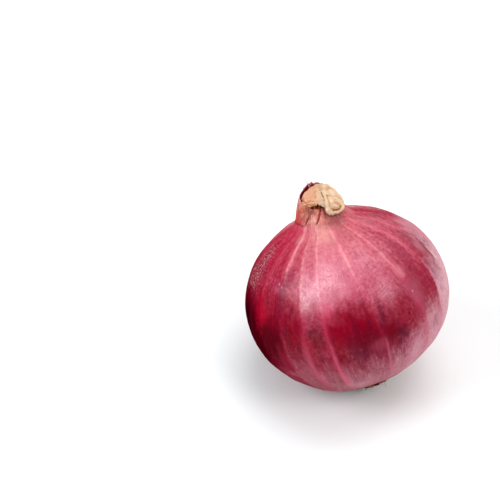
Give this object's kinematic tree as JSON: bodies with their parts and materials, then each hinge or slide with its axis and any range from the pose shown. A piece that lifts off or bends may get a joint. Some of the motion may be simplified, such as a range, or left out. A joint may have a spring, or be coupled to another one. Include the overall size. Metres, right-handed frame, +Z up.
{
  "type": "red onion",
  "caption": "Whole red onion lying on its belly: a round bulb in dry skin, a papery neck folded over at the top and a patch of dried roots beneath.",
  "frame": {"origin": "middle of the small flat spot on the belly that the onion rests on", "axes": "+Z up from the surface it rests on; the neck is up and leans towards -X and +Y, and the root end is low on the +X and -Y side"},
  "size_m": [0.0697, 0.069, 0.0704],
  "materials": {
    "red_skin": "thin dry skin with a satin sheen, crimson with paler veins",
    "dry_sheath": "matt, papery and crumpled, cream to peach",
    "dry_root": "matt dried root ends, tan with dark gaps"
  },
  "bodies": {
    "root": {"bulb": "red_skin", "neck_tip": "dry_sheath", "root_tuft": "dry_root"}
  },
  "joints": []
}
